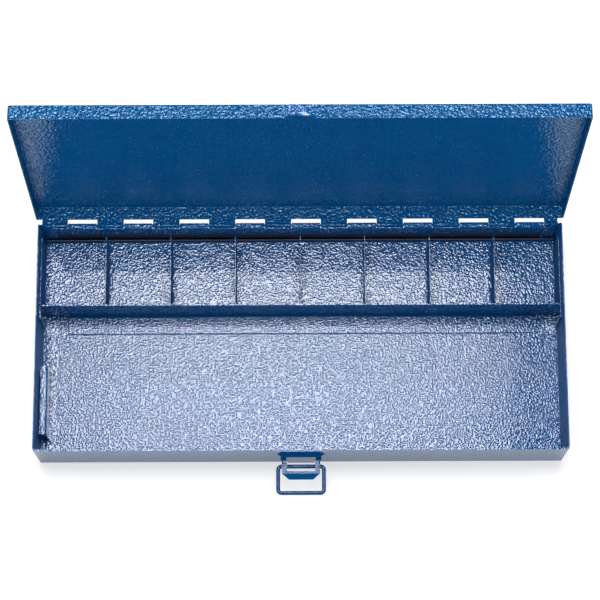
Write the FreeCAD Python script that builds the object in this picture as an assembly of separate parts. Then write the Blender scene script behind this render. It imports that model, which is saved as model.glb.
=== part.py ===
"""Steel compartment box with a hinged lid, eight compartments and a hasp with a ring.

Millimetres. +Z is up, +X is to the right and the front faces -Y. The origin is the centre of the
underside. The box is drawn with its lid fully open and its hasp and ring level.
"""
import FreeCAD
import Part
import math
import os

Vector = FreeCAD.Vector
X_AXIS = Vector(1, 0, 0)

# Box
SHEET = 0.8
BOX_WIDTH = 390.0
BOX_DEPTH = 172.0
RIM_HEIGHT = 49.0
SHELL_BEND = 1.2
SHELL_END_INSET = 1.0
WELD_GAP = 0.05
CUT_MARGIN = 1.0
NEAR = 0.01

# Side panels
PANEL_FLANGE = 13.0
PANEL_BEND = 1.2
PANEL_CORNER_DROP = 1.0

# Hinge
PIN_RADIUS = 1.0
CURL_BORE = 1.1
CURL_WALL_GAP = 0.3
PIN_DROP = 15.8
PIN_END_INSET = 0.3
TAB_BEND = 0.35
CURL_TURN = 270
TAB_COUNT = 9
TAB_PITCH = 42.0
SLOT_WIDTH = 22.2
FIRST_SLOT = -174.6
TAB_SIDE_GAP = 0.5
LID_STRIP_LEFT = -193.8
LID_STRIP_RIGHT = 193.7

# Lid
LID_WIDTH = 397.0
LID_FRONT_OVERHANG = 3.0
LID_SKIRT = 11.0
LID_CORNER = 1.5
RIM_CLEARANCE = 0.2
LID_OPEN_ANGLE = 96.0

# Catch on the lid's front skirt
CATCH_WIDTH = 19.0
CATCH_TOP = 0.2
CATCH_TONGUE_DROP = 9.1
CATCH_TONGUE_REACH = 3.4
CATCH_CORNER = 1.5

# Partition between the front bay and the compartments
PARTITION_SETBACK = 112.0
PARTITION_DROP = 13.8
PARTITION_HALF_WIDTH = 193.8
PARTITION_FLANGE = 10.0
PARTITION_FOOT = 13.4
PARTITION_FOOT_HALF = 175.0
PARTITION_CLEARANCE = 2.4

# Compartments
TRAY_DROP = 41.4
TRAY_BEND = 0.4
TRAY_LIP = 5.1
TRAY_LIP_GAP = 2.0
TRAY_UPSTAND = 6.0
TRAY_HALF_WIDTH = 192.6
END_PLATE_CENTRE = 193.5
END_PLATE_FLANGE = 10.0
DIVIDER_COUNT = 7
DIVIDER_REAR = 79.2
DIVIDER_PLAY = 0.1
DIVIDER_TAB_LENGTH = 6.0
DIVIDER_TAB_BELOW = 0.5
DIVIDER_TAB_PLACES = (38.0, 68.0)

# Ledge in the left of the front bay
LEDGE_FACE_X = -188.0
LEDGE_REACH = 5.4
LEDGE_TOP = 23.5
LEDGE_FRONT_Y = -68.9
LEDGE_LENGTH = 52.0

# Latch: forward distances are from the front wall's outer face
LATCH_PIVOT_DROP = 16.8
LATCH_PIVOT_FORWARD = 3.2
BASE_HALF_WIDTH = 17.8
BASE_TOP_DROP = 0.5
BASE_BOTTOM_DROP = 36.0
BASE_WIDE_DROP = 11.3
BASE_NARROW_DROP = 15.5
BASE_EAR_OUTER = 12.7
BASE_EAR_HALF_HEIGHT = 3.5
BASE_EAR_TIP = 2.0
BOSS_FORWARD = 3.1
BOSS_WALL_HALF = (17.5, 10.3)
BOSS_FACE_HALF = (13.6, 9.9)
BOSS_WALL_DROPS = (10.2, 11.0, 14.4, 35.4)
BOSS_FACE_DROPS = (11.8, 12.2, 14.6, 34.4)
BOSS_SLANT_INSET = 0.5
HASP_THICKNESS = 1.0
HASP_HALF_WIDTH = 14.0
HASP_DROP = 1.2
HASP_RAIL_START = 5.4
HASP_WINDOW_HALF = 10.35
HASP_WINDOW_END = 12.2
HASP_FLARE_START = 14.7
HASP_FLARE_LENGTH = 4.0
HASP_FLARE_ANGLE = 40.0
HASP_FLARE_BEND = 1.5
HASP_SHOULDER_HALF = 13.0
HASP_TIP_HALF = 8.7
HASP_EAR_TIP = 2.0
HASP_RING_LOBE = 2.6
HASP_LOBE_CORNER = (0.6, 0.8)
RIVET_RADIUS = 1.0
RIVET_PLAY = 0.08
RIVET_HEAD_RADIUS = 1.8
RIVET_HEAD = 0.7
RIVET_INNER_END = 10.8
RIVET_OUTER_END = 14.85
RING_WIRE = 1.5
RING_PLAY = 0.25
RING_HALF_WIDTH = 18.25
RING_LENGTH = 22.6
RING_CORNER = 4.0
RING_FORWARD = 8.3
RING_BELOW_PIVOT = 4.2

# Places worked out from the sizes above
HALF_WIDTH = BOX_WIDTH / 2
HALF_DEPTH = BOX_DEPTH / 2
CURL_OUTER = CURL_BORE + SHEET
CURL_CENTRE = CURL_BORE + SHEET / 2
PIN_Y = HALF_DEPTH + CURL_WALL_GAP + CURL_OUTER
PIN_Z = RIM_HEIGHT - PIN_DROP
BACK_WALL_TOP = PIN_Z + CURL_OUTER
LID_TOP = RIM_HEIGHT + RIM_CLEARANCE + SHEET
LID_FREE_EDGE = LID_TOP - LID_SKIRT
LID_FRONT = -HALF_DEPTH - LID_FRONT_OVERHANG
LID_REAR = PIN_Y + CURL_OUTER
PARTITION_TOP = RIM_HEIGHT - PARTITION_DROP
PARTITION_FRONT = PARTITION_SETBACK - HALF_DEPTH
PARTITION_BACK = PARTITION_FRONT + SHEET
TRAY_TOP = RIM_HEIGHT - TRAY_DROP
TRAY_LIP_BACK = HALF_DEPTH - SHEET - TRAY_LIP_GAP
DIVIDER_PITCH = 2 * END_PLATE_CENTRE / (DIVIDER_COUNT + 1)
PIVOT_Y = -HALF_DEPTH - LATCH_PIVOT_FORWARD
PIVOT_Z = RIM_HEIGHT - LATCH_PIVOT_DROP
RING_Y = -HALF_DEPTH - RING_FORWARD
RING_Z = PIVOT_Z - RING_BELOW_PIVOT


def side_view(across, up):
    """Place a drawing of a section seen from the right: across is Y, up is Z."""
    return Vector(0, across, up)


def front_view(across, up):
    """Place a drawing seen from the front: across is X, up is Z."""
    return Vector(across, 0, up)


def plan_view(across, up):
    """Place a drawing seen from above: across is X, up is Y."""
    return Vector(across, up, 0)


def line(length):
    """Straight run of a sheet's centre line."""
    return ("line", length)


def bend(degrees, inside_radius):
    """Bend of a sheet, positive to the left of its direction."""
    return ("bend", degrees, inside_radius)


def sheet_section(view, start, heading, moves, thickness=SHEET):
    """Face of a bent sheet's section, from the start of its centre line and a list of moves."""
    def normal(angle):
        return Vector(-math.sin(math.radians(angle)), math.cos(math.radians(angle)), 0)

    def placed(point):
        return view(point.x, point.y)

    half = thickness / 2
    point = Vector(start[0], start[1], 0)
    sides = {half: [], -half: []}
    first = {offset: placed(point + normal(heading) * offset) for offset in sides}
    for move in moves:
        if move[0] == "line":
            end = point + Vector(normal(heading).y, -normal(heading).x, 0) * move[1]
            for offset, edges in sides.items():
                shift = normal(heading) * offset
                edges.append(Part.LineSegment(placed(point + shift), placed(end + shift)).toShape())
            point = end
            continue
        turn, radius = move[1], move[2] + half
        toward = math.copysign(1, turn)
        centre = point + normal(heading) * (toward * radius)
        for offset, edges in sides.items():
            reach = offset - toward * radius
            ring = [placed(centre + normal(heading + turn * part) * reach) for part in (0, 0.5, 1)]
            edges.append(Part.Arc(*ring).toShape())
        heading += turn
        point = centre - normal(heading) * (toward * radius)
    last = {offset: placed(point + normal(heading) * offset) for offset in sides}
    caps = [Part.LineSegment(ends[half], ends[-half]).toShape() for ends in (first, last)]
    loop = Part.__sortEdges__(sides[half] + sides[-half] + caps)
    return Part.Face(Part.Wire(loop))


def along_x(face, low, high):
    """Solid of a side-view section from one X to another."""
    solid = face.extrude(Vector(high - low, 0, 0))
    solid.translate(Vector(low, 0, 0))
    return solid


def along_y(face, low, high):
    """Solid of a front-view section from one Y to another."""
    solid = face.extrude(Vector(0, high - low, 0))
    solid.translate(Vector(0, low, 0))
    return solid


def along_z(face, low, high):
    """Solid of a plan-view section from one Z to another."""
    solid = face.extrude(Vector(0, 0, high - low))
    solid.translate(Vector(0, 0, low))
    return solid


def polygon(view, points):
    """Flat face through the given corners."""
    corners = [view(across, up) for across, up in points]
    return Part.Face(Part.makePolygon(corners + corners[:1]))


def block(x_span, y_span, z_span):
    """Box between two values on each axis."""
    low = Vector(x_span[0], y_span[0], z_span[0])
    return Part.makeBox(x_span[1] - x_span[0], y_span[1] - y_span[0], z_span[1] - z_span[0], low)


def rod(radius, low, high, y, z):
    """Round bar along X."""
    return Part.makeCylinder(radius, high - low, Vector(low, y, z), X_AXIS)


def joined(solids):
    """One clean solid from several that touch or overlap."""
    return solids[0].multiFuse(solids[1:]).removeSplitter()


def mirrored(solid):
    """Copy on the other side of the box's middle plane."""
    return solid.mirror(Vector(0, 0, 0), X_AXIS)


def slots():
    """X spans of the gaps between the lid's hinge tabs, where the box's own tabs sit."""
    starts = [FIRST_SLOT + TAB_PITCH * place for place in range(TAB_COUNT)]
    return [(start, start + SLOT_WIDTH) for start in starts]


def spans_between(low, high, gaps):
    """X spans left of a strip once the gaps are taken out."""
    edges = [low] + [edge for gap in gaps for edge in gap] + [high]
    return list(zip(edges[::2], edges[1::2]))


def body_shell():
    """Front wall, floor and low back wall in one sheet, with hinge tabs on the back edge."""
    end = HALF_WIDTH - SHELL_END_INSET
    bend_reach = SHELL_BEND + SHEET
    tab_bend_reach = TAB_BEND + SHEET
    wall_end = BACK_WALL_TOP - tab_bend_reach
    section = sheet_section(side_view, (-HALF_DEPTH + SHEET / 2, RIM_HEIGHT), -90, [
        line(RIM_HEIGHT - bend_reach),
        bend(90, SHELL_BEND),
        line(BOX_DEPTH - 2 * bend_reach),
        bend(90, SHELL_BEND),
        line(wall_end - bend_reach),
    ])
    tab = sheet_section(side_view, (HALF_DEPTH - SHEET / 2, wall_end), 90, [
        bend(-90, TAB_BEND),
        line(PIN_Y - HALF_DEPTH - TAB_BEND),
        bend(-CURL_TURN, CURL_BORE),
    ])
    solids = [along_x(section, -end, end)]
    for low, high in slots():
        solids.append(along_x(tab, low + TAB_SIDE_GAP, high - TAB_SIDE_GAP))
    for low, high in spans_between(-end, end, slots()):
        solids.append(block((low, high), (HALF_DEPTH - SHEET, HALF_DEPTH), (wall_end, BACK_WALL_TOP)))
    return joined(solids)


def side_pan(outer_x, inner_x, wall, floor):
    """Block of a side panel's outside or inside, rounded where the sheet is folded."""
    pan = block((outer_x, inner_x), (-wall, wall), (floor, RIM_HEIGHT))
    folds = []
    for edge in pan.Edges:
        box = edge.BoundBox
        on_outer_face = box.XMax < outer_x + SHEET / 2
        if box.ZMin < RIM_HEIGHT - SHEET and (on_outer_face or box.XLength > SHEET):
            folds.append(edge)
    return pan, folds


def side_panel_left():
    """End wall with flanges folded in along the floor and both long walls."""
    outer_x = -HALF_WIDTH
    flange_x = outer_x + PANEL_FLANGE
    wall = HALF_DEPTH - SHEET - WELD_GAP
    floor = SHEET + WELD_GAP
    outside, outer_folds = side_pan(outer_x, flange_x, wall, floor)
    inside, inner_folds = side_pan(outer_x + SHEET, flange_x + SHEET, wall - SHEET, floor + SHEET)
    panel = outside.makeFillet(PANEL_BEND, outer_folds)
    panel = panel.cut(inside.makeFillet(PANEL_BEND - SHEET, inner_folds))
    corner = outer_x + SHEET + PANEL_BEND
    slope = polygon(front_view, [
        (corner, RIM_HEIGHT - PANEL_CORNER_DROP),
        (flange_x, BACK_WALL_TOP),
        (flange_x + SHEET, BACK_WALL_TOP),
        (flange_x + SHEET, RIM_HEIGHT + SHEET),
        (corner, RIM_HEIGHT + SHEET),
    ])
    return panel.cut(along_y(slope, wall - 2 * SHEET, HALF_DEPTH))


def hinge_pin():
    """Long wire that all the hinge curls turn on."""
    return rod(PIN_RADIUS, LID_STRIP_LEFT + PIN_END_INSET, LID_STRIP_RIGHT - PIN_END_INSET, PIN_Y, PIN_Z)


def opened(solid):
    """Swing a piece of the closed lid back to the open position."""
    solid.rotate(Vector(0, PIN_Y, PIN_Z), X_AXIS, -LID_OPEN_ANGLE)
    return solid


def lid_block(inset, free_edge):
    """Block of the lid's outside or inside, with the edges of its panel rounded."""
    half = LID_WIDTH / 2 - inset
    top = LID_TOP - inset
    solid = block((-half, half), (LID_FRONT + inset, LID_REAR - inset), (free_edge, top))
    folds = [edge for edge in solid.Edges
             if edge.BoundBox.ZMin > top - SHEET / 2 or edge.BoundBox.ZLength > SHEET]
    return solid.makeFillet(LID_CORNER - inset, folds)


def lid():
    """Panel with a skirt all round and hinge tabs on the rear skirt."""
    shell = lid_block(0, LID_FREE_EDGE).cut(lid_block(SHEET, LID_FREE_EDGE - SHEET))
    tab = sheet_section(side_view, (PIN_Y + CURL_CENTRE, LID_FREE_EDGE), -90, [
        line(LID_FREE_EDGE - PIN_Z),
        bend(-CURL_TURN, CURL_BORE),
    ])
    solids = [shell]
    for low, high in spans_between(LID_STRIP_LEFT, LID_STRIP_RIGHT, slots()):
        solids.append(along_x(tab, low, high))
    return opened(joined(solids))


def lid_catch():
    """Plate on the front skirt whose lower edge is bent out as a tongue."""
    tongue = RIM_HEIGHT - CATCH_TONGUE_DROP
    top = RIM_HEIGHT + CATCH_TOP
    section = sheet_section(side_view, (LID_FRONT - SHEET / 2, top), -90, [
        line(top - tongue - TRAY_BEND),
        bend(-90, TRAY_BEND),
        line(CATCH_TONGUE_REACH - TRAY_BEND),
    ])
    plate = along_x(section, -CATCH_WIDTH / 2, CATCH_WIDTH / 2)
    corners = [edge for edge in plate.Edges
               if edge.BoundBox.YLength > SHEET / 2 and edge.BoundBox.ZMin > top - NEAR
               and edge.BoundBox.XLength < NEAR]
    return opened(plate.makeFillet(CATCH_CORNER, corners))


def partition():
    """Wall with a foot flange on the floor and a flange against each side panel."""
    reach = SHELL_BEND + SHEET
    half = PARTITION_HALF_WIDTH
    front_end = PARTITION_FRONT - PARTITION_FLANGE
    wall = along_z(sheet_section(plan_view, (-half + SHEET / 2, front_end), 90, [
        line(PARTITION_BACK - front_end - reach),
        bend(-90, SHELL_BEND),
        line(2 * (half - reach)),
        bend(-90, SHELL_BEND),
        line(PARTITION_BACK - front_end - reach),
    ]), PARTITION_CLEARANCE, PARTITION_TOP)
    foot_top = SHEET + reach
    foot = along_x(sheet_section(side_view, (PARTITION_FRONT - PARTITION_FOOT, 1.5 * SHEET), 0, [
        line(PARTITION_FOOT + SHEET - reach),
        bend(90, SHELL_BEND),
    ]), -PARTITION_FOOT_HALF, PARTITION_FOOT_HALF)
    notch = block((-PARTITION_FOOT_HALF, PARTITION_FOOT_HALF),
                  (PARTITION_FRONT - CUT_MARGIN, PARTITION_BACK + CUT_MARGIN), (0, foot_top))
    return joined([wall.cut(notch), foot])


def divider_places():
    """X of each divider's middle."""
    first = -DIVIDER_PITCH * (DIVIDER_COUNT - 1) / 2
    return [first + DIVIDER_PITCH * place for place in range(DIVIDER_COUNT)]


def compartment_tray():
    """Raised floor with a low lip at the back, an upstand at the front and slots for the dividers."""
    reach = TRAY_BEND + SHEET
    front = PARTITION_BACK + WELD_GAP
    underside = TRAY_TOP - SHEET
    section = sheet_section(side_view, (TRAY_LIP_BACK - SHEET / 2, TRAY_TOP + TRAY_LIP), -90, [
        line(TRAY_TOP + TRAY_LIP - underside - reach),
        bend(-90, TRAY_BEND),
        line(TRAY_LIP_BACK - front - 2 * reach),
        bend(-90, TRAY_BEND),
        line(TRAY_UPSTAND),
    ])
    tray = along_x(section, -TRAY_HALF_WIDTH, TRAY_HALF_WIDTH)
    half = SHEET / 2 + DIVIDER_PLAY
    slot_half = DIVIDER_TAB_LENGTH / 2 + DIVIDER_PLAY
    for x in divider_places():
        for y in DIVIDER_TAB_PLACES:
            tray = tray.cut(block((x - half, x + half), (y - slot_half, y + slot_half),
                                  (underside - CUT_MARGIN, TRAY_TOP + CUT_MARGIN)))
    return tray


def tray_end_left():
    """End plate of the compartment row, with a flange under the raised floor."""
    reach = TRAY_BEND + SHEET
    flange_bottom = TRAY_TOP - 2 * SHEET
    section = sheet_section(front_view, (-END_PLATE_CENTRE, PARTITION_TOP), -90, [
        line(PARTITION_TOP - flange_bottom - reach),
        bend(90, TRAY_BEND),
        line(END_PLATE_FLANGE),
    ])
    return along_y(section, PARTITION_BACK + DIVIDER_PLAY, DIVIDER_REAR)


def divider(x):
    """Upright plate notched over the tray's upstand, with two tabs through the tray."""
    front = PARTITION_BACK + DIVIDER_PLAY
    notch_back = PARTITION_BACK + WELD_GAP + SHEET + DIVIDER_PLAY
    notch_top = TRAY_TOP + TRAY_BEND + TRAY_UPSTAND + DIVIDER_PLAY
    outline = [
        (front, PARTITION_TOP),
        (front, notch_top),
        (notch_back, notch_top),
        (notch_back, TRAY_TOP + TRAY_BEND),
        (notch_back + TRAY_BEND, TRAY_TOP),
    ]
    tab_bottom = TRAY_TOP - SHEET - DIVIDER_TAB_BELOW
    for y in DIVIDER_TAB_PLACES:
        low, high = y - DIVIDER_TAB_LENGTH / 2, y + DIVIDER_TAB_LENGTH / 2
        outline += [(low, TRAY_TOP), (low, tab_bottom), (high, tab_bottom), (high, TRAY_TOP)]
    outline += [(DIVIDER_REAR, TRAY_TOP), (DIVIDER_REAR, PARTITION_TOP)]
    return along_x(polygon(side_view, outline), x - SHEET / 2, x + SHEET / 2)


def tool_ledge():
    """Small channel that stands on the left panel's floor flange, open towards the panel."""
    foot = 2 * SHEET + WELD_GAP
    reach = TRAY_BEND + SHEET
    section = sheet_section(front_view, (LEDGE_FACE_X - LEDGE_REACH, LEDGE_TOP - SHEET / 2), 0, [
        line(LEDGE_REACH - reach),
        bend(-90, TRAY_BEND),
        line(LEDGE_TOP - foot - 2 * reach),
        bend(-90, TRAY_BEND),
        line(LEDGE_REACH - reach),
    ])
    return along_y(section, LEDGE_FRONT_Y, LEDGE_FRONT_Y + LEDGE_LENGTH)


def boss_outline(halves, drops, forward):
    """Outline of the pressed boss, wide at the top and narrow below, at one distance from the wall."""
    (wide, narrow), heights = halves, [RIM_HEIGHT - drop for drop in drops]
    right = [(wide, heights[0]), (wide, heights[1]), (narrow, heights[2]), (narrow, heights[3])]
    left = [(-x, z) for x, z in reversed(right)]
    points = [Vector(x, -HALF_DEPTH - forward, z) for x, z in right + left]
    return Part.makePolygon(points + points[:1])


def boss(inset):
    """Solid with sloping sides, drawn in by inset from the outer surface of the pressed boss."""
    def smaller(halves, drops):
        slant = inset * BOSS_SLANT_INSET
        edges = [drops[0] + inset, drops[1] + slant, drops[2] + slant, drops[3] - inset]
        return [half - inset for half in halves], edges

    at_wall = boss_outline(*smaller(BOSS_WALL_HALF, BOSS_WALL_DROPS), SHEET - inset)
    at_face = boss_outline(*smaller(BOSS_FACE_HALF, BOSS_FACE_DROPS), BOSS_FORWARD - inset)
    return Part.makeLoft([at_wall, at_face], True, True)


def rivet_hole(low, high):
    """Cutter for the rivet's hole through an ear that lies between two X values."""
    return rod(RIVET_RADIUS + RIVET_PLAY, low - CUT_MARGIN, high + CUT_MARGIN, PIVOT_Y, PIVOT_Z)


def latch_base():
    """Plate on the front wall with a pressed boss and two ears bent forward for the hasp's rivets."""
    wall = -HALF_DEPTH
    top, wide, narrow, bottom = (RIM_HEIGHT - drop for drop in (
        BASE_TOP_DROP, BASE_WIDE_DROP, BASE_NARROW_DROP, BASE_BOTTOM_DROP))
    plate = along_y(polygon(front_view, [
        (-BASE_HALF_WIDTH, top), (BASE_HALF_WIDTH, top), (BASE_HALF_WIDTH, wide),
        (BASE_EAR_OUTER, narrow), (BASE_EAR_OUTER, bottom), (-BASE_EAR_OUTER, bottom),
        (-BASE_EAR_OUTER, narrow), (-BASE_HALF_WIDTH, wide),
    ]), wall - SHEET, wall)
    ear_inner = BASE_EAR_OUTER - SHEET
    low, high = PIVOT_Z - BASE_EAR_HALF_HEIGHT, min(PIVOT_Z + BASE_EAR_HALF_HEIGHT, narrow)
    ear_web = along_x(polygon(side_view, [
        (wall, low), (wall, high), (PIVOT_Y, PIVOT_Z + BASE_EAR_TIP), (PIVOT_Y, PIVOT_Z - BASE_EAR_TIP),
    ]), ear_inner, BASE_EAR_OUTER)
    ear_tip = rod(BASE_EAR_TIP, ear_inner, BASE_EAR_OUTER, PIVOT_Y, PIVOT_Z)
    ear = joined([ear_web, ear_tip]).cut(rivet_hole(ear_inner, BASE_EAR_OUTER))
    hollow = boss(SHEET)
    return joined([joined([plate, boss(0)]).cut(hollow), ear, mirrored(ear)])


def hasp_ear():
    """Side ear of the hasp: a lobe round the rivet, a lobe round the ring and the rail between."""
    low, high = HASP_HALF_WIDTH - HASP_THICKNESS, HASP_HALF_WIDTH
    top = PIVOT_Z - HASP_DROP
    rail_end = -HALF_DEPTH - HASP_FLARE_START
    across, along = HASP_LOBE_CORNER
    web = polygon(side_view, [
        (PIVOT_Y + HASP_EAR_TIP * across, PIVOT_Z - HASP_EAR_TIP * along),
        (PIVOT_Y - HASP_EAR_TIP * along, PIVOT_Z + HASP_EAR_TIP * across),
        (-HALF_DEPTH - HASP_RAIL_START - HASP_EAR_TIP, top),
        (rail_end, top),
        (rail_end, top - HASP_THICKNESS),
        (RING_Y - HASP_RING_LOBE, RING_Z),
        (RING_Y + HASP_RING_LOBE * across, RING_Z - HASP_RING_LOBE * along),
    ])
    ear = joined([
        along_x(web, low, high),
        rod(HASP_EAR_TIP, low, high, PIVOT_Y, PIVOT_Z),
        rod(HASP_RING_LOBE, low, high, RING_Y, RING_Z),
    ])
    ring_hole = rod(RING_WIRE + RING_PLAY, low - CUT_MARGIN, high + CUT_MARGIN, RING_Y, RING_Z)
    return ear.cut(rivet_hole(low, high)).cut(ring_hole)


def hasp():
    """Plate with a window for the lid's tongue, a flared lip and an ear down each side."""
    wall = -HALF_DEPTH
    middle = PIVOT_Z - HASP_DROP - HASP_THICKNESS / 2
    flare_reach = (HASP_FLARE_BEND + HASP_THICKNESS / 2) * math.tan(math.radians(HASP_FLARE_ANGLE / 2))
    section = sheet_section(side_view, (wall - HASP_RAIL_START, middle), 180, [
        line(HASP_FLARE_START - HASP_RAIL_START - flare_reach),
        bend(HASP_FLARE_ANGLE, HASP_FLARE_BEND),
        line(HASP_FLARE_LENGTH - flare_reach),
    ], HASP_THICKNESS)
    plate = along_x(section, -HASP_HALF_WIDTH, HASP_HALF_WIDTH)
    window = block((-HASP_WINDOW_HALF, HASP_WINDOW_HALF), (wall - HASP_WINDOW_END, wall),
                   (PIVOT_Z - HASP_DROP - HASP_THICKNESS - CUT_MARGIN, PIVOT_Z))
    tip_y = section.BoundBox.YMin
    flare_y = wall - HASP_FLARE_START
    corner = along_z(polygon(plan_view, [
        (HASP_HALF_WIDTH + CUT_MARGIN, flare_y + CUT_MARGIN),
        (HASP_SHOULDER_HALF, flare_y),
        (HASP_TIP_HALF, tip_y),
        (HASP_TIP_HALF, tip_y - CUT_MARGIN),
        (HASP_HALF_WIDTH + CUT_MARGIN, tip_y - CUT_MARGIN),
    ]), 0, RIM_HEIGHT)
    ear = hasp_ear()
    hasp_solid = joined([plate.cut(window), ear, mirrored(ear)])
    return hasp_solid.cut(corner).cut(mirrored(corner))


def hasp_rivets():
    """The two short rivets that the hasp turns on, each with a head at both ends."""
    shank = rod(RIVET_RADIUS, RIVET_INNER_END, RIVET_OUTER_END, PIVOT_Y, PIVOT_Z)
    inner = rod(RIVET_HEAD_RADIUS, RIVET_INNER_END, RIVET_INNER_END + RIVET_HEAD, PIVOT_Y, PIVOT_Z)
    outer = rod(RIVET_HEAD_RADIUS, RIVET_OUTER_END - RIVET_HEAD, RIVET_OUTER_END, PIVOT_Y, PIVOT_Z)
    rivet = joined([shank, inner, outer])
    return Part.Compound([rivet, mirrored(rivet)])


def bail_ring():
    """Closed wire ring with rounded corners that passes through both ears of the hasp."""
    radius = RING_CORNER - RING_WIRE
    side_x = RING_HALF_WIDTH - RING_WIRE
    corner_x = side_x - radius
    back = RING_Y
    front = RING_Y + 2 * RING_WIRE - RING_LENGTH
    solids = []
    for y, inward in ((back, -1), (front, 1)):
        solids.append(rod(RING_WIRE, -corner_x, corner_x, y, RING_Z))
        for side in (-1, 1):
            circle = Part.makeCircle(RING_WIRE, Vector(side * corner_x, y, RING_Z), X_AXIS)
            disc = Part.Face(Part.Wire(circle))
            centre = Vector(side * corner_x, y + inward * radius, RING_Z)
            solids.append(disc.revolve(centre, Vector(0, 0, 1), 90 * side * inward))
    leg = back - front - 2 * radius
    for side in (-1, 1):
        foot = Vector(side * side_x, front + radius, RING_Z)
        solids.append(Part.makeCylinder(RING_WIRE, leg, foot, Vector(0, 1, 0)))
    return joined(solids)


def save(name, shape):
    """Write one piece, after checking that it is sound."""
    if not shape.isValid() or not shape.Solids:
        raise ValueError(name + " is not a sound solid")
    shape.exportStep(os.path.join("parts", name + ".step"))


def main():
    """Build and write every piece."""
    os.makedirs("parts", exist_ok=True)
    save("body_shell", body_shell())
    save("side_panel_left", side_panel_left())
    save("side_panel_right", mirrored(side_panel_left()))
    save("hinge_pin", hinge_pin())
    save("lid", lid())
    save("lid_catch", lid_catch())
    save("partition", partition())
    save("compartment_tray", compartment_tray())
    save("tray_end_left", tray_end_left())
    save("tray_end_right", mirrored(tray_end_left()))
    for number, x in enumerate(divider_places(), start=1):
        save("divider_%d" % number, divider(x))
    save("tool_ledge", tool_ledge())
    save("latch_base", latch_base())
    save("hasp", hasp())
    save("hasp_rivets", hasp_rivets())
    save("bail_ring", bail_ring())


main()
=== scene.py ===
import math

import bpy
from mathutils import Euler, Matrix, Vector

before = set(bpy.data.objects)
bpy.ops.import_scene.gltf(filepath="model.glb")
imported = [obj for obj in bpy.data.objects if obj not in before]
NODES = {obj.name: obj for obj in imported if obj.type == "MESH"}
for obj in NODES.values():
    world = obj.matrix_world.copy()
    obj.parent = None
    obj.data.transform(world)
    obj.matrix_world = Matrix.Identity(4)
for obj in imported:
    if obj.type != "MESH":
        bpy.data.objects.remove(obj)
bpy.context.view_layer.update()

# Enamel, with linear colours and lengths in metres
BLUE = (0.001, 0.105, 0.34, 1.0)
WARM_BLUE = (0.001, 0.118, 0.36, 1.0)
# DEEP_BLUE is the colour of the painted shade in the pits, on the lid's front skirt, below the catch and on the latch
# pieces, and of the line along the partition's foot
DEEP_BLUE = (0.0, 0.06, 0.20, 1.0)
# Darker brown mixed low into the gap between the back wall and the tray's lip
GAP_BROWN = (0.09, 0.062, 0.075, 1.0)
CELL = 0.00138
HAMMER_DEPTH = 0.000142
SKIRT_CELL = 0.0019
SKIRT_DEPTH = 0.00034
LID_SHEEN = (0.62, 0.9, 1.0, 1.0)
GLOSS = 0.88
PANEL_ROUGHNESS = 0.52
DIVIDER_ROUGHNESS = 0.75
DIMPLE_RISE = (0.72, 0.28)
DIMPLE_EDGE = 1.7
PIT_RISE = (0.44, 0.32)
# Painted shade in the dimples' pits: how far their colour goes towards DEEP_BLUE
PIT_PAINTED_SHADE = 0.4
# Painted shade on the lid's front skirt: how far its colour goes towards DEEP_BLUE
SKIRT_PAINTED_SHADE = 0.55
# Painted shadow below the catch's tongue, on the smooth bed around the catch
CATCH_PAINTED_SHADOW = 0.8
SEAM_SHADE = 0.8
SEAM_ROUGHNESS = 0.7
# How far the band low in the gap behind the tray goes towards the darker brown, and how dull it is
GAP_BROWN_AMOUNT = 0.7
GAP_BROWN_ROUGHNESS = 0.6
BROAD_SCALE = 0.06 / CELL
BROAD_DETAIL = 2.0
TONE_RISE = (0.35, 0.65)
ROUGHNESS_RISE = (0.3, 0.7)
ROUGHNESS = (0.03, 0.06)
SEED_STEP = 0.37
SEED_PARTS = (1.0, 0.7, 1.3)
EDGE_WIDTH = 0.00022
EDGE_SEGMENTS = 2
EDGE_ANGLE = math.radians(40)
WELD_DISTANCE = 0.000002

# Where the paint differs, in metres: a mask is 0 at a pair's first place and 1 at its second
SEAM_FRONT = (0.0116, 0.0119)
SEAM_BACK = (0.0128, 0.0126)
SEAM_REAR = (0.0275, 0.0270)
SEAM_LENGTH = (0.1759, 0.1756)
SEAM_END = (0.1749, 0.1751)
SEAM_HEIGHT = (0.0016, 0.0012)
LEAF_FRONT = (0.0862, 0.0865)
LEAF_BACK = (0.0945, 0.0935)
LEAF_TOP = (0.0500, 0.0450)
# Bed around the catch, painted smooth and darker as a painted shadow below the catch's tongue
BED_HALF = (0.0103, 0.0100)
BED_EDGE = (0.1045, 0.1048)
BED_HEIGHT = (0.2000, 0.2010)
SKIRT_FRONT = (0.2055, 0.2065)
SKIRT_REAR = (0.0480, 0.0440)
LID_ENDS = (0.1550, 0.1850)
# Band low in the gap between the back wall and the tray's lip, mixed towards a darker brown
CREVICE_FRONT = (0.0818, 0.0826)
CREVICE_BACK = (0.0858, 0.0855)
CREVICE_TOP = (0.0240, 0.0215)
CREVICE_WAVE = 0.004
PANEL_INSIDE = (0.1948, 0.1944)

# How far a face is turned sideways before its paint is dull
SIDEWAYS = (0.5, 0.9)

# Paint of the pieces that differ from the rest
DIMPLES = {
    "lid_catch": (0.0026, 0.00040),
    "tool_ledge": (CELL, 0.00010),
    "bail_ring": (0.0015, 0.00012),
    "hasp": (0.0015, 0.00008),
    "latch_base": (0.0015, 0.00006),
    "hasp_rivets": (0.0015, 0.00003),
}
PIECE_GLOSS = {"bail_ring": 0.45, "latch_base": 0.45, "hasp": 0.25, "hasp_rivets": 0.25}
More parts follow.
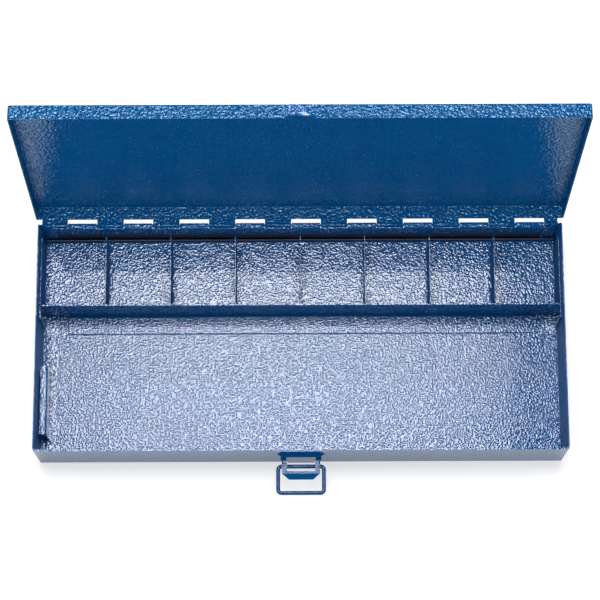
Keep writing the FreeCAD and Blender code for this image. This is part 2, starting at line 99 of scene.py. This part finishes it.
# Painted shade: the latch pieces and the ring are the same enamel, painted darker towards DEEP_BLUE
PIECE_PAINTED_SHADE = {"bail_ring": 0.85, "latch_base": 0.3, "hasp": 0.5, "hasp_rivets": 0.5}
DULL_SIDES = {
    "side_panel_left": PANEL_ROUGHNESS,
    "side_panel_right": PANEL_ROUGHNESS,
    "tray_end_left": DIVIDER_ROUGHNESS,
    "tray_end_right": DIVIDER_ROUGHNESS,
}
DULL_SIDES.update(("divider_%d" % number, DIVIDER_ROUGHNESS) for number in range(1, 8))
CREVICE_PIECES = ("body_shell", "compartment_tray")

# Studio: a lamp is its place, the point it aims at, its size and its power
WHITE = (1.0, 1.0, 1.0, 1.0)
HORIZON_LIGHT = 1.1
ZENITH_LIGHT = 0.2
WORLD_MIRRORED = 0.015
FLOOR_HALF = 30.0
FLOOR_TONE = (0.78, 0.78, 0.78, 1.0)
FLOOR_ROUGHNESS = 0.9
FLOOR_GLOW = 0.52
FLOOR_MIRRORED = 0.28
SOFTBOX = ((-0.04, 0.25, 1.45), (-0.04, 0.25, 0.0), (0.68, 0.50), 11.75)
REAR_STRIP = ((0.0, 0.93, 1.45), (0.0, 0.11, 0.21), (1.3, 0.055), 3.6)

# Camera, with its focus in picture widths
CAMERA_PLACE = (-0.00284, -0.37345, 1.62008)
CAMERA_TURN = (0.24917, -0.00063, -0.00396)
CAMERA_FOCUS = 2199.0 / 600.0
SENSOR_WIDTH = 36.0
CLIP = (0.05, 200.0)


# Node helpers
class Graph:
    """One material's nodes, with short calls to add and join them."""

    def __init__(self, name):
        self.material = bpy.data.materials.new(name)
        self.material.use_nodes = True
        self.tree = self.material.node_tree
        self.shader = self.tree.nodes["Principled BSDF"]

    def node(self, kind, **inputs):
        made = self.tree.nodes.new(kind)
        for key, value in inputs.items():
            self.feed(made.inputs[key.replace("_", " ")], value)
        return made

    def feed(self, socket, value):
        if isinstance(value, bpy.types.NodeSocket):
            self.tree.links.new(value, socket)
        else:
            socket.default_value = value

    def maths(self, operation, first, second=0.0):
        made = self.tree.nodes.new("ShaderNodeMath")
        made.operation = operation
        self.feed(made.inputs[0], first)
        self.feed(made.inputs[1], second)
        return made.outputs[0]

    def product(self, first, *others):
        for other in others:
            first = self.maths("MULTIPLY", first, other)
        return first

    def highest(self, first, *others):
        for other in others:
            first = self.maths("MAXIMUM", first, other)
        return first

    def ramp(self, value, low, high, to_low=0.0, to_high=1.0):
        made = self.tree.nodes.new("ShaderNodeMapRange")
        made.clamp = True
        for socket, given in zip(made.inputs, (value, low, high, to_low, to_high)):
            self.feed(socket, given)
        return made.outputs[0]

    def mix(self, amount, first, second):
        made = self.tree.nodes.new("ShaderNodeMix")
        made.data_type = "RGBA"
        self.feed(made.inputs[0], amount)
        self.feed(made.inputs[6], first)
        self.feed(made.inputs[7], second)
        return made.outputs[2]


def foot_seam(graph, axes):
    """Mask of a darker, duller line on the floor along the partition's foot."""
    across = graph.maths("ABSOLUTE", axes.outputs["X"])
    start = graph.ramp(axes.outputs["Y"], *SEAM_FRONT)
    along = graph.product(start, graph.ramp(axes.outputs["Y"], *SEAM_BACK))
    ends = graph.product(graph.ramp(across, *SEAM_END), start)
    line = graph.product(graph.highest(along, ends), graph.ramp(across, *SEAM_LENGTH))
    return graph.product(line, graph.ramp(axes.outputs["Y"], *SEAM_REAR), graph.ramp(axes.outputs["Z"], *SEAM_HEIGHT))


def hinge_leaves(graph, axes):
    """Mask of the tabs and curls behind the back wall, where the paint ran thick."""
    return graph.product(graph.ramp(axes.outputs["Y"], *LEAF_FRONT), graph.ramp(axes.outputs["Y"], *LEAF_BACK),
                         graph.ramp(axes.outputs["Z"], *LEAF_TOP))


def catch_bed_and_shadow(graph, axes):
    """Mask of the smooth paint around and below the catch on the lid's front skirt, which is also painted darker
    there as a painted shadow below the catch's tongue.
    """
    across = graph.ramp(graph.maths("ABSOLUTE", axes.outputs["X"]), *BED_HALF)
    return graph.product(across, graph.ramp(axes.outputs["Y"], *BED_EDGE), graph.ramp(axes.outputs["Z"], *BED_HEIGHT))


def hammered_enamel(name, cell, depth, seed, side_roughness, crevice, gloss, skirt, piece_painted_shade):
    """Glossy paint with fine dimples.

    Faces that stand across the box can be duller. The lid's skirts and ends and the hinge have coarser dimples.
    Painted shade darkens the dimples' pits, the lid's front skirt, the smooth bed below the catch and the latch
    pieces. A darker brown is mixed low into the gap behind the tray, and a darker line runs along the partition's
    foot.
    """
    graph = Graph(name)
    spot = graph.node("ShaderNodeTexCoord")
    place = spot.outputs["Object"]
    axes = graph.node("ShaderNodeSeparateXYZ", Vector=place)
    shift = [seed * part for part in SEED_PARTS]
    shifted = graph.node("ShaderNodeMapping", Location=shift, Vector=place).outputs[0]
    waves = graph.node("ShaderNodeTexNoise", Vector=shifted, Scale=1.0 / cell, Detail=0.0)
    broad = graph.node("ShaderNodeTexNoise", Vector=shifted, Scale=BROAD_SCALE, Detail=BROAD_DETAIL)
    rise = graph.maths("POWER", graph.ramp(waves.outputs["Fac"], *DIMPLE_RISE), DIMPLE_EDGE)
    height = graph.product(rise, -depth)
    # Painted shade: the dimples' pits are darkened towards DEEP_BLUE
    painted_shade = graph.product(graph.ramp(waves.outputs["Fac"], *PIT_RISE), PIT_PAINTED_SHADE)
    if skirt or crevice:
        runs = graph.node("ShaderNodeTexNoise", Vector=shifted, Scale=1.0 / SKIRT_CELL, Detail=0.0)
        swell = graph.maths("POWER", graph.ramp(runs.outputs["Fac"], *DIMPLE_RISE), DIMPLE_EDGE)
        thick = hinge_leaves(graph, axes)
        if skirt:
            front = graph.ramp(axes.outputs["Z"], *SKIRT_FRONT)
            rear = graph.ramp(axes.outputs["Z"], *SKIRT_REAR)
            ends = graph.ramp(graph.maths("ABSOLUTE", axes.outputs["X"]), *LID_ENDS)
            thick = graph.highest(thick, front, rear, ends)
            # Painted shade on the lid's front skirt
            painted_shade = graph.highest(painted_shade, graph.product(front, SKIRT_PAINTED_SHADE))
        height = graph.ramp(thick, 0.0, 1.0, height, graph.product(swell, -SKIRT_DEPTH))
    if skirt:
        # The bed around the catch is smooth and carries a painted shadow below its tongue
        smooth_and_shadowed = catch_bed_and_shadow(graph, axes)
        height = graph.ramp(smooth_and_shadowed, 0.0, 1.0, height, 0.0)
        painted_shade = graph.highest(painted_shade, graph.product(smooth_and_shadowed, CATCH_PAINTED_SHADOW))
    # Painted shade that darkens a whole piece
    if piece_painted_shade:
        painted_shade = graph.highest(painted_shade, piece_painted_shade)
    bump = graph.node("ShaderNodeBump", Strength=1.0, Distance=1.0, Height=height)
    tone = graph.mix(graph.ramp(broad.outputs["Fac"], *TONE_RISE), BLUE, WARM_BLUE)
    # All painted shade is mixed in here, towards DEEP_BLUE
    colour = graph.mix(painted_shade, tone, DEEP_BLUE)
    rough = graph.ramp(broad.outputs["Fac"], *ROUGHNESS_RISE, *ROUGHNESS)
    if side_roughness:
        across = graph.node("ShaderNodeSeparateXYZ", Vector=spot.outputs["Normal"]).outputs["X"]
        sideways = graph.ramp(graph.maths("ABSOLUTE", across), *SIDEWAYS)
        inside = graph.ramp(graph.maths("ABSOLUTE", axes.outputs["X"]), *PANEL_INSIDE)
        rough = graph.highest(rough, graph.product(sideways, inside, side_roughness))
    # A darker brown, duller band low in the gap between the back wall and the tray's lip
    if crevice:
        waved = graph.maths("ADD", axes.outputs["Z"], graph.product(broad.outputs["Fac"], CREVICE_WAVE))
        gap_brown = graph.product(graph.ramp(axes.outputs["Y"], *CREVICE_FRONT),
                                graph.ramp(axes.outputs["Y"], *CREVICE_BACK), graph.ramp(waved, *CREVICE_TOP))
        colour = graph.mix(graph.product(gap_brown, GAP_BROWN_AMOUNT), colour, GAP_BROWN)
        rough = graph.highest(rough, graph.product(gap_brown, GAP_BROWN_ROUGHNESS))
        # A darker, duller line on the floor along the partition's foot
        seam = foot_seam(graph, axes)
        colour = graph.mix(graph.product(seam, SEAM_SHADE), colour, DEEP_BLUE)
        rough = graph.highest(rough, graph.product(seam, SEAM_ROUGHNESS))
    graph.feed(graph.shader.inputs["Base Color"], colour)
    graph.feed(graph.shader.inputs["Normal"], bump.outputs[0])
    graph.feed(graph.shader.inputs["Roughness"], rough)
    graph.shader.inputs["Specular IOR Level"].default_value = gloss
    if skirt:
        graph.shader.inputs["Specular Tint"].default_value = LID_SHEEN
    return graph.material


def dress(piece, material):
    piece.data.materials.clear()
    piece.data.materials.append(material)


def soften(piece):
    """Round the folded edges a little, so that they catch the light."""
    weld = piece.modifiers.new("join_edges", "WELD")
    weld.merge_threshold = WELD_DISTANCE
    round_edge = piece.modifiers.new("round_edges", "BEVEL")
    round_edge.width = EDGE_WIDTH
    round_edge.segments = EDGE_SEGMENTS
    round_edge.limit_method = "ANGLE"
    round_edge.angle_limit = EDGE_ANGLE
    round_edge.harden_normals = True


def area_lamp(name, place, aim, size, power):
    data = bpy.data.lights.new(name, "AREA")
    data.shape = "RECTANGLE"
    data.size, data.size_y = size
    data.energy = power
    lamp = bpy.data.objects.new(name, data)
    lamp.location = place
    lamp.rotation_euler = (Vector(aim) - Vector(place)).to_track_quat("-Z", "Y").to_euler()
    bpy.context.scene.collection.objects.link(lamp)


def pale_floor():
    """Pale paint that looks white to the camera and dimmer to the paint that mirrors it."""
    graph = Graph("pale_floor")
    path = graph.node("ShaderNodeLightPath")
    mirrored = graph.highest(path.outputs["Is Glossy Ray"], path.outputs["Is Transmission Ray"])
    glow = graph.maths("ADD", graph.product(path.outputs["Is Camera Ray"], FLOOR_GLOW),
                       graph.product(mirrored, FLOOR_MIRRORED))
    graph.shader.inputs["Base Color"].default_value = FLOOR_TONE
    graph.shader.inputs["Roughness"].default_value = FLOOR_ROUGHNESS
    graph.shader.inputs["Emission Color"].default_value = WHITE
    graph.feed(graph.shader.inputs["Emission Strength"], glow)
    return graph.material


def stage():
    """Floor, and a world that lights but is hardly mirrored."""
    corners = [(FLOOR_HALF * x, FLOOR_HALF * y, 0) for x, y in ((-1, -1), (1, -1), (1, 1), (-1, 1))]
    mesh = bpy.data.meshes.new("floor")
    mesh.from_pydata(corners, [], [(0, 1, 2, 3)])
    floor = bpy.data.objects.new("floor", mesh)
    bpy.context.scene.collection.objects.link(floor)
    mesh.materials.append(pale_floor())
    world = bpy.data.worlds.new("studio")
    world.use_nodes = True
    bpy.context.scene.world = world
    tree = world.node_tree
    background = tree.nodes["Background"]
    background.inputs["Color"].default_value = WHITE
    path = tree.nodes.new("ShaderNodeLightPath")
    direction = tree.nodes.new("ShaderNodeTexCoord")
    parts = tree.nodes.new("ShaderNodeSeparateXYZ")
    tree.links.new(direction.outputs["Generated"], parts.inputs[0])
    fade = tree.nodes.new("ShaderNodeMapRange")
    tree.links.new(parts.outputs["Z"], fade.inputs["Value"])
    fade.inputs["To Min"].default_value = HORIZON_LIGHT
    fade.inputs["To Max"].default_value = ZENITH_LIGHT
    strength = tree.nodes.new("ShaderNodeMix")
    tree.links.new(path.outputs["Is Diffuse Ray"], strength.inputs["Factor"])
    strength.inputs["A"].default_value = WORLD_MIRRORED
    tree.links.new(fade.outputs[0], strength.inputs["B"])
    tree.links.new(strength.outputs["Result"], background.inputs["Strength"])


def camera():
    data = bpy.data.cameras.new("photo_view")
    data.sensor_width = SENSOR_WIDTH
    data.lens = SENSOR_WIDTH * CAMERA_FOCUS
    data.clip_start, data.clip_end = CLIP
    view = bpy.data.objects.new("photo_view", data)
    view.location = CAMERA_PLACE
    view.rotation_euler = Euler(CAMERA_TURN)
    bpy.context.scene.collection.objects.link(view)
    bpy.context.scene.camera = view


for number, name in enumerate(sorted(NODES)):
    cell, depth = DIMPLES.get(name, (CELL, HAMMER_DEPTH))
    paint = hammered_enamel("enamel_" + name, cell, depth, number * SEED_STEP,
                            side_roughness=DULL_SIDES.get(name, 0.0),
                            crevice=name in CREVICE_PIECES,
                            gloss=PIECE_GLOSS.get(name, GLOSS), skirt=name == "lid",
                            piece_painted_shade=PIECE_PAINTED_SHADE.get(name, 0.0))
    dress(NODES[name], paint)
    soften(NODES[name])
area_lamp("softbox", *SOFTBOX)
area_lamp("rear_strip", *REAR_STRIP)
stage()
camera()
bpy.context.scene.view_settings.view_transform = "Standard"
